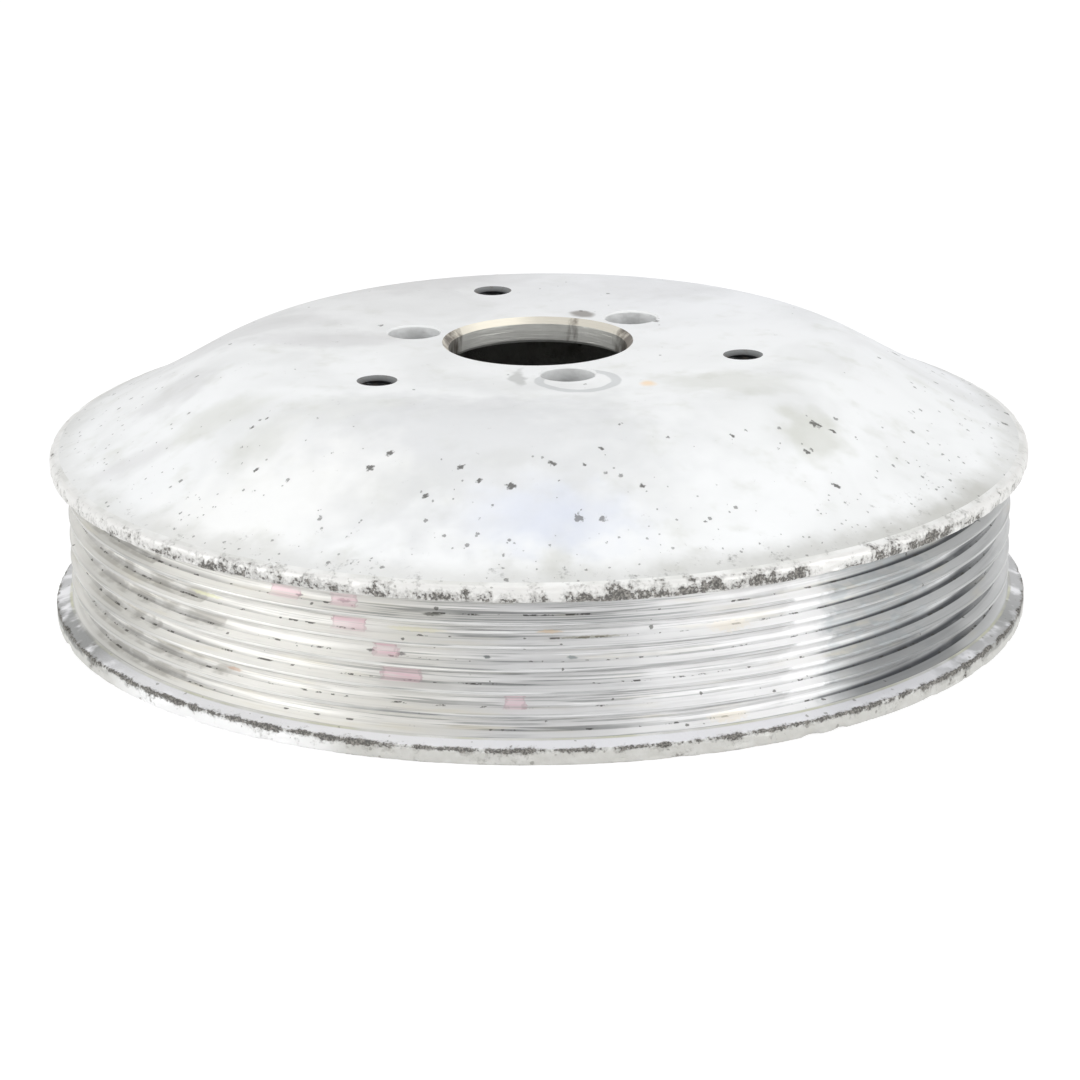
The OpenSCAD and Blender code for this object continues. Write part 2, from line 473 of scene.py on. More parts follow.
class Graph:
    """A material's or world's node tree. Its calls add nodes and return their output sockets."""

    def __init__(self, tree):
        self.tree = tree
        tree.nodes.clear()

    def node(self, kind, inputs=None, **settings):
        made = self.tree.nodes.new("ShaderNode" + kind)
        for name, value in settings.items():
            setattr(made, name, value)
        for key, value in (inputs or {}).items():
            self.put(made.inputs[key], value)
        return made

    def put(self, socket, value):
        if isinstance(value, bpy.types.NodeSocket):
            self.tree.links.new(value, socket)
        else:
            socket.default_value = value

    def math(self, operation, *values):
        return self.node("Math", dict(enumerate(values)), operation=operation).outputs[0]

    def times(self, *values):
        made = values[0]
        for value in values[1:]:
            made = self.math("MULTIPLY", made, value)
        return made

    def plus(self, a, b):
        return self.math("ADD", a, b)

    def most(self, *values):
        made = values[0]
        for value in values[1:]:
            made = self.math("MAXIMUM", made, value)
        return made

    def smooth(self, value, low, high, to_low=0.0, to_high=1.0):
        """Goes smoothly from to_low to to_high as value goes from low to high."""
        made = self.node("MapRange", interpolation_type="SMOOTHSTEP")
        for key, number in zip(("Value", "From Min", "From Max", "To Min", "To Max"),
                               (value, low, high, to_low, to_high)):
            self.put(made.inputs[key], number)
        return made.outputs["Result"]

    def window(self, value, low, high, soft):
        """1 between low and high, and 0 further than soft outside them."""
        rise = self.smooth(value, low - soft, low)
        fall = self.smooth(value, high, high + soft, 1.0, 0.0)
        return self.times(rise, fall)

    def vector(self, x=0.0, y=0.0, z=0.0):
        return self.node("CombineXYZ", {"X": x, "Y": y, "Z": z}).outputs[0]

    def shift(self, operation, a, b):
        return self.node("VectorMath", {0: a, 1: b}, operation=operation).outputs[0]

    def scaled(self, vector, factor):
        return self.node("VectorMath", {0: vector, "Scale": factor}, operation="SCALE").outputs[0]

    def length(self, vector):
        return self.node("VectorMath", {0: vector}, operation="LENGTH").outputs["Value"]

    def noise(self, vector, scale, detail=2.0, roughness=0.5, distortion=0.0):
        made = self.node("TexNoise", {
            "Vector": vector, "Scale": scale, "Detail": detail, "Roughness": roughness,
            "Distortion": distortion})
        return made.outputs["Fac"]

    def cells(self, vector, scale):
        """A cell texture's distance to the nearest middle, and a chance value for each cell."""
        made = self.node("TexVoronoi", {"Vector": vector, "Scale": scale})
        chance = self.node("SeparateColor", {"Color": made.outputs["Color"]})
        return made.outputs["Distance"], chance.outputs[0], chance.outputs[1]

    def mix(self, share, a, b):
        made = self.node("Mix", data_type="RGBA")
        for key, value in ((0, share), (6, a), (7, b)):
            self.put(made.inputs[key], value)
        return made.outputs[2]

    def curve(self, value, stops):
        """A smooth line through (value, level) stops."""
        low, high = stops[0][0], stops[-1][0]
        share = self.node("MapRange", {"Value": value, "From Min": low, "From Max": high})
        ramp = self.node("ValToRGB", {"Fac": share.outputs["Result"]})
        points = ramp.color_ramp.elements
        while len(points) < len(stops):
            points.new(1.0)
        for point, (place, level) in zip(points, stops):
            point.position = (place - low) / (high - low)
            point.color = (level, level, level, 1.0)
        return ramp.outputs["Color"]


class Surface(Graph):
    """A material of the pulley, with the coordinates that its layers use, in millimetres."""

    def __init__(self, name):
        self.material = bpy.data.materials.new(name)
        self.material.use_nodes = True
        super().__init__(self.material.node_tree)
        coordinates = self.node("TexCoord").outputs["Object"]
        self.place = self.scaled(coordinates, 1 / MM)
        parts = self.node("SeparateXYZ", {0: self.place}).outputs
        self.x, self.y, self.z = parts[0], parts[1], parts[2]
        self.flat = self.vector(self.x, self.y)
        self.radius = self.length(self.flat)
        around = self.math("ARCTAN2", self.x, self.times(self.y, -1.0))
        self.azimuth = self.math("DEGREES", around)
        self.frays = {}

    def stretched(self, share, upright=1.0):
        """Coordinates for patterns drawn out round the pulley, the more so the smaller the share."""
        height = self.z if upright == 1.0 else self.times(self.z, upright)
        return self.vector(self.times(self.x, share), self.times(self.y, share), height)

    def fray(self, size):
        """A push from -1 to 1 in each direction that changes over that many millimetres."""
        if size not in self.frays:
            frayed = self.node("TexNoise", {"Vector": self.place, "Scale": 1 / size, "Detail": 2.0})
            centred = self.shift("SUBTRACT", frayed.outputs["Color"], (0.5, 0.5, 0.5))
            self.frays[size] = self.scaled(centred, 2.0)
        return self.frays[size]

    def spots(self, vector, cell, share, small, large, ragged=0.5):
        """Ragged specks: one in each cell of that size, where its chance is under share."""
        moved = self.scaled(self.fray(0.45), ragged * large)
        distance, chance, size = self.cells(self.shift("ADD", vector, moved), 1 / cell)
        reach = self.smooth(size, 0.0, 1.0, small / cell, large / cell)
        inside = self.math("LESS_THAN", chance, share)
        speck = self.smooth(self.math("DIVIDE", distance, reach), 0.75, 1.1, 1.0, 0.0)
        return self.times(speck, inside)

    def mark(self, x, y, length, width, ragged=0.6):
        """How far a point of the web or the hub face lies from a ragged blot's middle at x, y, with
        1 at the blot's edge."""
        size = 0.6 if width < 3 else 5.0
        moved = self.scaled(self.fray(size), ragged * width)
        offset = self.shift("ADD", self.flat, self.shift("ADD", moved, (-x, -y, 0)))
        return self.length(self.shift("MULTIPLY", offset, (2 / length, 2 / width, 0)))

    def patch(self, azimuth, height, turn, tall, ragged=0.4):
        """The same for a blot on the rim, with its size given in degrees and in height."""
        moved = self.scaled(self.fray(0.6), ragged * tall)
        place = self.shift("ADD", self.vector(self.azimuth, self.z), moved)
        offset = self.shift("SUBTRACT", place, (azimuth, height, 0))
        return self.length(self.shift("MULTIPLY", offset, (2 / turn, 2 / tall, 0)))

    def finish(self, color, metallic, roughness, height=None, depth=0.1, **sockets):
        """Ends the material in a Principled shader. Depth is the relief's height in millimetres."""
        inputs = {"Base Color": color, "Metallic": metallic, "Roughness": roughness, **sockets}
        if height is not None:
            bump = self.node("Bump", {"Height": height, "Distance": depth * MM, "Strength": 1.0})
            inputs["Normal"] = bump.outputs[0]
        shader = self.node("BsdfPrincipled", inputs)
        self.node("OutputMaterial", {"Surface": shader.outputs[0]})
        return self.material


WHITE_CAST = tone(247, 248, 248)
GREY_CAST = tone(228, 229, 228)
GREEN_GREY = tone(214, 215, 207)
REFLECTED_BLUE = tone(222, 227, 240)
PIT_BLACK = tone(84, 82, 78)
GRIT_BLACK = tone(78, 76, 71)
WORN_BEIGE = tone(233, 232, 229)
RIM_BEIGE = tone(205, 204, 199)


def grit_layer(s):
    """How far the black crust covers the flanges' edges and what lies next to them."""
    upper = s.curve(s.azimuth, [
        (-180, 0.55), (-95, 0.50), (-84, 0.85), (-74, 0.50), (-64, 0.62), (-56, 0.60), (-45, 0.80),
        (-38, 1.0), (-22, 1.04), (-14, 0.90), (-6, 0.82), (2, 0.92), (8, 1.12), (17, 1.10), (19.5, 1.0),
        (22, 1.22), (28, 1.16), (31, 0.45), (34, 0.45), (37, 1.12), (48, 1.08), (56, 0.80), (66, 0.60),
        (75, 0.60), (100, 0.50), (180, 0.55)])
    upper_height = s.curve(s.z, [
        (24.6, 0.0), (25.0, 0.80), (25.4, 0.98), (26.2, 0.86), (26.8, 0.62), (27.2, 0.62), (27.6, 0.36),
        (29.0, 0.20), (31.0, 0.08), (34.0, 0.0)])
    lower_height = s.curve(s.z, [
        (0.0, 0.60), (0.3, 0.25), (1.0, 0.30), (1.6, 0.42), (1.95, 0.82), (2.25, 1.15), (2.5, 1.10),
        (2.7, 0.4), (3.0, 0.0)])
    lower = s.curve(s.azimuth, [
        (-180, 0.8), (-85, 1.0), (-60, 0.95), (-40, 1.05), (-20, 1.08), (-8, 0.9), (0, 1.02), (20, 1.0),
        (32, 1.05), (40, 1.12), (70, 1.05), (100, 0.8), (180, 0.8)])
    density = s.plus(s.times(upper, upper_height), s.times(lower, lower_height))
    coarse = s.noise(s.place, 0.36, 4.0, 0.62)
    fine = s.noise(s.place, 1.9, 3.0, 0.6)
    worn = s.node("Attribute", attribute_name="worn").outputs["Fac"]
    level = s.plus(s.plus(s.times(coarse, 0.62), s.times(fine, 0.38)), s.smooth(worn, 0.05, 0.3, 0.0, 0.08))
    edge = s.math("SUBTRACT", 0.735, s.times(density, 0.265))
    over = s.math("SUBTRACT", level, edge)
    return s.most(s.smooth(over, -0.02, 0.045), s.smooth(over, -0.11, 0.0, 0.0, 0.36))


def flange_tint(s, color):
    """The beige worn strip on the upper flange, the greyer face of the lower one, and a painted highlight
    that whitens that face on the left.
    """
    cloudy = s.noise(s.place, 0.5, 3.0)
    strip = s.times(s.window(s.z, 24.9, 27.25, 0.15), s.smooth(cloudy, 0.25, 0.6, 0.55, 1.0))
    color = s.mix(strip, color, WORN_BEIGE)
    # A painted highlight on the lower flange's face, on the left
    left_highlight = s.window(s.azimuth, -50.0, -28.0, 9.0)
    clouded = s.smooth(cloudy, 0.2, 0.65, 0.6, 1.0)
    face = s.times(s.smooth(s.z, 1.7, 2.4, 1.0, 0.0), clouded, s.math("SUBTRACT", 1.0, left_highlight))
    color = s.mix(face, color, RIM_BEIGE)
    return s.mix(s.times(left_highlight, s.smooth(s.z, 1.9, 2.5, 0.8, 0.0)), color, tone(255, 255, 255))


# Clouded stains on the web and hub face: middle x, y, length, width and strength
GREY_STAINS = [
    (-33, 2, 26, 12, 0.5), (-58, -10, 18, 16, 0.4), (-50, 14, 40, 26, 0.4), (-24, 45, 50, 30, 0.45),
    (-64, -29, 15, 9, 0.35), (20, 34, 34, 22, 0.25), (-12, -38, 26, 12, 0.25), (62, 6, 30, 14, 0.15),
]
GREEN_STAINS = [
    (-50, -28, 20, 10, 0.4), (-42, -41, 13, 12, 0.4), (-30, -36, 24, 12, 0.2), (-20, -57, 22, 10, 0.35),
    (29, -26, 26, 14, 0.45), (42, -40, 12, 14, 0.6), (-5, -55, 12, 5, 0.4), (-44, 52, 30, 20, 0.3),
    (50, 48, 34, 20, 0.25),
]
# Pits that stand out, at x, y, with their length
PITS = [
    (-41.7, -34.5, 0.7), (-44.0, -35.5, 0.9), (-42.7, -46.0, 1.0), (-25.2, -53.2, 1.4), (-22.3, -51.2, 1.5),
    (-11.5, -56.1, 1.3), (-8.8, -58.9, 1.1), (-4.1, -60.2, 1.6), (-16.8, -60.4, 1.1), (2.0, -56.3, 1.4),
    (6.7, -56.5, 0.9), (15.2, -59.3, 1.0), (9.3, -53.1, 0.9), (42.4, -37.1, 2.0), (40.6, -44.5, 1.2),
    (45.0, -37.2, 1.0), (29.2, -46.1, 1.0), (44.6, -49.7, 1.4),
]


def cast_face():
    """The web and the hub face: pale, matt, clouded and pitted."""
    s = Surface("cast_face")
    soft = s.noise(s.place, 0.045, 3.0, 0.55, 0.6)
    fine = s.noise(s.place, 0.16, 3.0, 0.6)
    color = s.mix(s.smooth(soft, 0.38, 0.72, 0.0, 0.6), WHITE_CAST, GREY_CAST)
    color = s.mix(s.smooth(fine, 0.5, 0.8, 0.0, 0.4), color, GREEN_GREY)
    # Painted shade: the back of the web is darker on the left and paler and bluish on the right
    back = s.smooth(s.y, -20.0, 50.0)
    painted_back_shade = s.mix(s.smooth(s.x, -30.0, 30.0), tone(206, 205, 204), tone(236, 237, 242))
    color = s.mix(s.times(back, 0.5), color, painted_back_shade)
    for stains, shade in ((GREY_STAINS, tone(208, 207, 207)), (GREEN_STAINS, GREEN_GREY)):
        for x, y, length, width, strength in stains:
            distance = s.mark(x, y, length, width, 0.35)
            color = s.mix(s.smooth(distance, 0.35, 1.15, strength, 0.0), color, shade)

    # The front of the web, painted light and shade: greyer in the middle, paler to its left, and a bluish
    # painted reflection by the rim
    front = s.mark(-10, -50, 74, 44, 0.3)
    color = s.mix(s.smooth(front, 0.2, 1.2, 0.7, 0.0), color, tone(220, 221, 222))
    painted_light_left = s.mark(-42, -54, 50, 28, 0.3)
    color = s.mix(s.smooth(painted_light_left, 0.3, 1.2, 0.6, 0.0), color, tone(254, 254, 252))
    color = s.mix(s.smooth(s.mark(2, -66, 32, 16, 0.3), 0.0, 1.2, 0.7, 0.0), color, REFLECTED_BLUE)

    # Marks on the hub face: a washer's print, a smear, a rust spot and a dark blot
    washer = s.mark(6.3, -24.6, 13.4, 13.4, 0.05)
    color = s.mix(s.times(s.window(washer, 0.80, 0.97, 0.06), 0.5), color, tone(186, 189, 190))
    smear = s.mark(-2.6, -22.5, 2.9, 11.0, 0.3)
    color = s.mix(s.smooth(smear, 0.5, 1.2, 0.75, 0.0), color, tone(196, 197, 195))
    rust = s.mark(16.8, -26.4, 2.9, 4.0, 0.3)
    color = s.mix(s.smooth(rust, 0.3, 1.2, 0.8, 0.0), color, tone(250, 224, 190))
    blot = s.mark(7.4, 17.0, 4.2, 6.0, 0.3)
    color = s.mix(s.smooth(blot, 0.5, 1.1, 0.7, 0.0), color, tone(120, 112, 104))

    # Dust along the rim, thicker on the right
    by_rim = s.smooth(s.plus(s.radius, s.times(fine, 6.0)), 75.5, 80.5)
    dusty = s.curve(s.azimuth, [
        (-180, 0.5), (-80, 0.4), (-60, 0.3), (-45, 0.5), (-10, 0.5), (10, 0.5), (20, 0.8), (36, 0.8),
        (44, 1.0), (62, 1.0), (70, 0.4), (180, 0.5)])
    color = s.mix(s.times(by_rim, dusty, 0.65), color, tone(186, 185, 178))

    # Pits: those that stand out, and small ones that thicken toward the rim
    pits = 0.0
    for x, y, length in PITS:
        distance = s.mark(x, y, length, length * 0.75, 0.7)
        pits = s.most(pits, s.smooth(distance, 0.55, 1.1, 0.85, 0.0))
    rimward = s.smooth(s.radius, 46.0, 78.0, 0.05, 1.15)
    patchy = s.smooth(soft, 0.35, 0.65, 0.5, 1.2)
    share = s.times(rimward, patchy)
    small = s.spots(s.flat, 2.4, s.times(share, 0.9), 0.14, 0.42, 0.8)
    large = s.spots(s.shift("ADD", s.flat, (13.0, 71.0, 0.0)), 6.5, share, 0.28, 0.8, 0.9)
    tiny = s.spots(s.shift("ADD", s.flat, (7.0, 19.0, 0.0)), 1.5, s.times(share, 0.7), 0.10, 0.24, 0.8)
    scattered = s.most(s.times(tiny, 0.5), s.times(small, 0.6), s.times(large, 0.65))
    color = s.mix(s.most(pits, scattered), color, PIT_BLACK)
    grit = grit_layer(s)
    color = s.mix(s.times(grit, 0.8), color, GRIT_BLACK)

    grain = s.noise(s.place, 1.4, 4.0, 0.6)
    height = s.math("SUBTRACT", s.times(grain, 0.35), s.plus(s.times(scattered, 0.9), s.times(grit, 0.3)))
    roughness = s.smooth(s.plus(s.times(soft, 0.5), s.times(grain, 0.5)), 0.3, 0.7, 0.62, 0.78)
    return s.finish(color, 0.25, roughness, height, 0.1, **{"Specular IOR Level": 0.25})


def flange_edge():
    """The flanges' outer faces: worn beige metal under a broken black crust."""
    s = Surface("flange_edge")
    base = s.mix(s.smooth(s.noise(s.place, 0.2, 3.0), 0.35, 0.65), tone(238, 238, 236), tone(220, 220, 216))
    color = flange_tint(s, base)
    inner = s.window(s.z, 2.55, 3.1, 0.1)
    color = s.mix(inner, color, tone(250, 250, 253))
    smear = s.curve(s.azimuth, [
        (-180, 0.5), (-85, 0.6), (-78, 1.0), (-64, 1.0), (-57, 0.3), (-50, 0.0), (48, 0.0), (55, 0.7),
        (64, 0.7), (72, 1.0), (84, 0.7), (180, 0.5)])
    smeared = s.smooth(s.noise(s.place, 0.22, 3.0), 0.32, 0.52)
    color = s.mix(s.times(smear, smeared, s.window(s.z, 1.6, 3.1, 0.5), 0.8), color, tone(112, 113, 110))
    broken = s.smooth(s.noise(s.place, 0.12, 3.0), 0.4, 0.65, 0.0, 0.6)
    color = s.mix(s.times(s.window(s.z, 3.2, 3.4, 0.06), broken), color, tone(210, 210, 178))
    specks = s.spots(s.place, 1.5, 0.35, 0.12, 0.34, 0.6)
    color = s.mix(s.times(specks, 0.55), color, tone(120, 116, 108))
    grit = grit_layer(s)
    crumb = s.noise(s.place, 3.0, 2.0)
    crust = s.mix(s.smooth(crumb, 0.38, 0.66), GRIT_BLACK, tone(156, 152, 145))
    color = s.mix(s.times(grit, 0.9), color, crust)
    crumbled = s.times(grit, s.smooth(crumb, 0.3, 0.7, -0.5, 0.9))
    height = s.plus(s.times(s.noise(s.place, 2.4, 4.0), 0.5), crumbled)
    roughness = s.smooth(grit, 0.0, 1.0, 0.42, 0.8)
    metallic = s.smooth(grit, 0.0, 1.0, 0.2, 0.05)
    return s.finish(color, metallic, roughness, height, 0.14)


# Worn paint marks in the grooves' bottoms: azimuth from and to, groove from the lowest, and strength
PAINT_MARKS = [
    (-32.0, -28.2, 5, 0.75), (-24.2, -21.0, 5, 0.7), (-24.0, -20.0, 4, 0.85), (-19.0, -16.2, 3, 1.0),
    (-18.2, -13.6, 2, 0.95), (-4.0, -1.8, 1, 0.95),
]
# Stains on the band: azimuth, height, turn, height of the stain, colour and strength
BAND_STAINS = [
    (-14.0, 18.8, 8.0, 0.8, (222, 218, 190), 0.55), (1.0, 19.0, 3.4, 0.6, (206, 188, 164), 0.8),
    (5.5, 18.2, 9.0, 0.3, (150, 145, 126), 0.6), (21.5, 18.2, 6.0, 1.3, (244, 236, 222), 0.5),
    (21.5, 4.0, 6.0, 1.2, (244, 235, 218), 0.5), (56.0, 23.4, 10.0, 0.9, (120, 114, 106), 0.7),
    (-38.0, 8.1, 2.6, 0.6, (178, 150, 132), 0.7), (-42.0, 18.8, 6.0, 0.6, (206, 206, 172), 0.7),
    (-6.0, 15.1, 1.0, 0.5, (100, 106, 106), 0.8), (3.5, 15.0, 1.4, 0.5, (140, 148, 148), 0.8),
    (-12.0, 21.6, 2.6, 0.35, (110, 110, 104), 0.8), (-63.5, 19.7, 2.4, 1.0, (238, 236, 224), 0.9),
    (-57.7, 19.4, 2.6, 0.8, (238, 237, 227), 0.9), (-28.3, 22.1, 1.2, 0.5, (104, 92, 94), 0.7),
    (-22.6, 22.2, 2.0, 0.6, (120, 98, 106), 0.7), (-19.4, 15.0, 1.2, 0.5, (88, 86, 84), 0.8),
    (-15.8, 14.9, 1.2, 0.5, (96, 92, 92), 0.7),
]
# Darker turned lines on the flanks: height, thickness, azimuth from and to, and strength
DARK_LINES = [
    (21.32, 0.10, -22, 14, 0.55), (21.14, 0.04, -24, 10, 0.4), (21.50, 0.03, -16, 8, 0.5),
    (18.05, 0.03, -12, 8, 0.3), (14.50, 0.03, -16, 6, 0.3), (10.95, 0.03, -20, 4, 0.3),
    (6.52, 0.14, -22, 34, 0.5),
]


def belt_band():
    """The grooved band: flanks that the belt keeps smooth between dull, finely turned bottoms."""
    s = Surface("belt_band")
    depth = s.math("SUBTRACT", ridge_r, s.radius)
    lifted = s.math("SUBTRACT", s.z, first_groove_z - 1.5 * groove_pitch)
    rise = s.math("SUBTRACT", s.math("MODULO", lifted, groove_pitch), groove_pitch / 2)
    tip = s.smooth(depth, 0.06, 0.24, 1.0, 0.0)
    around = s.plus(s.azimuth, s.times(s.math("SUBTRACT", s.noise(s.place, 0.5, 3.0), 0.5), 5.0))
    bottom = s.smooth(depth, flank_end - 0.08, flank_end + 0.06)

    # The brightness of flanks, bottoms and tips by azimuth is painted reflection: painted highlights where
    # lamps would glint, painted shade on the right
    flank_painted_light = s.curve(around, [
        (-180, 0.85), (-100, 0.85), (-74, 0.85), (-66, 0.79), (-58, 0.78), (-50, 0.91), (-42, 0.94),
        (-32, 0.93), (-20, 0.91), (-12, 0.84), (-4, 0.86), (6, 0.90), (14, 1.03), (21, 1.16), (27, 1.13),
        (32.6, 0.96), (34.2, 0.74), (37, 0.68), (41, 0.60), (47, 0.67), (56, 0.67), (66, 0.66),
        (76, 0.78), (100, 0.85), (180, 0.85)])
    bottom_painted_light = s.curve(around, [
        (-180, 0.60), (-100, 0.60), (-74, 0.88), (-64, 1.02), (-54, 0.97), (-44, 0.74), (-36, 0.73),
        (-28, 0.85), (-18, 0.79), (-12, 0.80), (-4, 0.72), (2, 0.68), (8, 0.77), (14, 0.92), (20, 0.86),
        (26, 0.73), (32.6, 0.60), (34.2, 0.68), (38, 0.62), (41, 0.53), (48, 0.45), (56, 0.88),
        (64, 0.53), (72, 0.58), (100, 0.60), (180, 0.60)])
    tip_painted_light = s.curve(around, [
        (-180, 0.7), (-70, 0.73), (-56, 0.66), (-42, 0.77), (-32, 0.66), (-22, 0.72), (-12, 0.78), (0, 0.72),
        (12, 0.73), (20, 0.65), (28, 0.56), (32.6, 0.50), (34.2, 0.44), (44, 0.43), (54, 0.53), (64, 0.58),
        (80, 0.7), (180, 0.7)])
    sides = s.math("SUBTRACT", 1.0, s.most(tip, bottom))
    outer_painted_light = s.plus(s.times(flank_painted_light, sides), s.times(tip_painted_light, tip))
    level = s.plus(s.times(bottom_painted_light, bottom), outer_painted_light)
    warm = s.mix(s.smooth(s.azimuth, -16.0, -2.0), tone(250, 249, 245), tone(248, 248, 248))
    tint = s.mix(s.smooth(around, 32.6, 34.0), warm, tone(247, 248, 248))
    color = s.mix(level, tone(0, 0, 0), tint)

    # Turning lines run round the band, so their pattern depends on the height and hardly on the turn
    lines = s.noise(s.stretched(0.015), 3.4, 1.0, 0.7)
    breaks = s.noise(s.stretched(0.12), 0.8, 3.0)
    middle = s.curve(s.azimuth, [
        (-180, 0.5), (-45, 0.4), (-30, 0.35), (-16, 0.8), (0, 1.0), (14, 0.7), (28, 0.3), (36, 0.4),
        (180, 0.5)])
    rough_part = s.plus(s.times(s.most(tip, bottom), 0.7), 0.3)
    broken = s.smooth(breaks, 0.35, 0.6, 0.4, 1.0)
    line_share = s.times(s.smooth(lines, 0.52, 0.60), broken, rough_part, middle)
    color = s.mix(s.times(line_share, 0.65), color, tone(100, 103, 103))
    # Bright turned lines: painted glints
    glinting = s.smooth(breaks, 0.4, 0.6, 0.2, 1.0)
    painted_glint = s.times(s.smooth(lines, 0.40, 0.34), glinting, rough_part, middle)
    color = s.mix(s.times(painted_glint, 0.8), color, tint)
    for height, thickness, left, right, strength in DARK_LINES:
        along = s.times(s.window(s.azimuth, left, right, 5.0), broken)
        line = s.times(s.window(s.z, height - thickness / 2, height + thickness / 2, 0.04), along)
        color = s.mix(s.times(line, strength), color, tone(120, 124, 126))
    streaks = s.noise(s.stretched(0.06), 0.9, 3.0)
    color = s.mix(s.smooth(streaks, 0.56, 0.8, 0.0, 0.4), color, tone(226, 218, 192))

    # A thin line of painted shadow along each ridge
    ridge_shadow = s.times(s.window(rise, 1.44, 1.56, 0.06), s.smooth(depth, 0.15, 0.35, 1.0, 0.0))
    ridge_shadow_level = s.curve(s.azimuth, [
        (-180, 0.4), (-60, 0.1), (-42, 0.1), (-36, 0.35), (-24, 0.3), (-12, 0.2), (0, 0.2), (10, 0.4),
        (16, 0.7), (27.5, 0.95), (29.5, 0.1), (32, 0.1), (35, 0.4), (42, 0.2), (60, 0.1), (180, 0.4)])
    ridge_shadow = s.times(ridge_shadow, ridge_shadow_level, s.smooth(breaks, 0.3, 0.6, 0.45, 1.0), 0.8)
    color = s.mix(ridge_shadow, color, tone(96, 95, 91))

    # A painted highlight: a whiter strip on the right, soft at both sides
    strip = s.times(s.window(around, 30.0, 32.8, 2.4), s.smooth(bottom, 0.0, 1.0, 0.75, 0.4))
    color = s.mix(strip, color, tone(244, 244, 244))

    # Lighter and bluer patches of painted reflection in the painted shade right of it
    patchy = s.noise(s.stretched(0.3, 0.7), 1.1, 3.0)
    reflected_patches = s.times(s.smooth(patchy, 0.46, 0.60), s.window(s.azimuth, 35.0, 51.0, 2.0),
                      s.smooth(s.z, 6.0, 13.0, 0.15, 0.5))
    color = s.mix(reflected_patches, color, tone(182, 188, 191))

    # Grey-brown grime and painted shade low in the grooves on the left, which ends at another place in each
    # groove
    ends = s.curve(s.z, [
        (0, 0.46), (6.5, 0.46), (6.7, 0.38), (10.1, 0.38), (10.3, 0.51), (13.6, 0.51), (13.8, 0.39),
        (17.2, 0.39), (17.4, 0.42), (20.7, 0.42), (21.0, 0.50), (30, 0.50)])
    past_end = s.plus(around, s.times(ends, 100.0))
    low_side = s.times(s.smooth(rise, 0.1, 0.5, 1.0, 0.0), s.smooth(depth, 0.6, 0.9))
    grime_and_shade = s.times(s.smooth(past_end, -0.6, 0.6, 1.0, 0.0), low_side, s.smooth(s.azimuth, -75.0, -62.0))
    mottled = s.noise(s.stretched(0.3), 0.8, 3.0)
    color = s.mix(s.times(grime_and_shade, s.smooth(mottled, 0.35, 0.6, 0.0, 0.5)), color, tone(150, 146, 138))

    # Painted shade: the lowest grooves are darker on the right
    low_painted_shade = s.times(s.window(s.azimuth, 40.0, 56.0, 5.0), s.smooth(s.z, 5.0, 13.0, 0.4, 0.0))
    color = s.mix(low_painted_shade, color, tone(92, 94, 97))

    # Black belt dust where the bottoms begin: a band on the right that is dust and painted shade, patches on
    # the left, and dashes
    reach = s.curve(s.azimuth, [
        (-180, 0.5), (-64, 0.75), (-42, 0.6), (30, 0.22), (36, 0.26), (46, 0.45), (54, 0.6), (62, 1.0),
        (70, 1.0), (180, 0.5)])
    reach = s.times(reach, s.smooth(s.z, 4.0, 14.0, 1.3, 1.0))
    above_flank = s.math("DIVIDE", s.plus(rise, bottom_half), reach)
    dust_and_shade_band = s.times(bottom, s.smooth(above_flank, 0.35, 1.3, 1.0, 0.0))
    dust = s.curve(s.azimuth, [
        (-180, 0.5), (-80, 0.3), (-66, 0.35), (-60, 0.4), (-44, 0.3), (-40, 0.2), (-37, 0.0), (32, 0.0),
        (33.5, 0.7), (37, 1.0), (44, 1.0), (60, 1.0), (65, 0.6), (72, 0.3), (180, 0.5)])
    ragged = s.noise(s.stretched(0.15), 0.7, 3.0)
    color = s.mix(s.times(dust_and_shade_band, dust, s.smooth(ragged, 0.3, 0.5, 0.8, 1.0)), color, tone(76, 78, 82))
    dashes = s.smooth(s.noise(s.stretched(0.5), 0.9, 3.0, 0.65), 0.56, 0.62)
    in_corner = s.times(s.window(rise, -bottom_half, -0.86, 0.05), bottom)
    color = s.mix(s.times(dashes, in_corner, 0.85), color, tone(66, 64, 58))

    specks = s.spots(s.place, 2.6, 0.3, 0.12, 0.36, 0.8)
    color = s.mix(s.times(specks, 0.75), color, tone(92, 92, 86))
    for azimuth, height, turn, tall, shade, strength in BAND_STAINS:
        distance = s.patch(azimuth, height, turn, tall)
        color = s.mix(s.smooth(distance, 0.5, 1.1, strength, 0.0), color, tone(*shade))
    jagged = s.plus(s.azimuth, s.times(s.math("SUBTRACT", s.noise(s.place, 1.2, 3.0), 0.5), 1.6))
    for left, right, groove, strength in PAINT_MARKS:
        middle_z = first_groove_z + groove * groove_pitch
        tall = s.window(s.z, middle_z - bottom_half, middle_z + 0.75, 0.08)
        patch = s.times(s.window(jagged, left, right, 0.15), tall)
        core = s.window(jagged, left + 0.3, right - 0.3, 0.2)
        shade = s.mix(core, tone(196, 166, 174), tone(226, 194, 203))
        worn_off = s.smooth(lines, 0.40, 0.60, 1.0, 0.45)
        color = s.mix(s.times(patch, s.smooth(breaks, 0.3, 0.5, 0.3, 0.9), worn_off, strength), color, shade)

    relief = s.times(lines, s.smooth(rough_part, 0.15, 1.0, 0.15, 0.5))
    height = s.math("SUBTRACT", relief, s.times(specks, 0.8))
    roughness = s.smooth(s.plus(s.times(lines, 0.6), s.times(ragged, 0.4)), 0.3, 0.7, 0.46, 0.6)
    tangent = s.node("Tangent", direction_type="RADIAL", axis="Z").outputs[0]
    brushed = {"Anisotropic": 0.8, "Anisotropic Rotation": 0.25, "Tangent": tangent}
    return s.finish(color, 0.6, roughness, height, 0.04, **brushed)


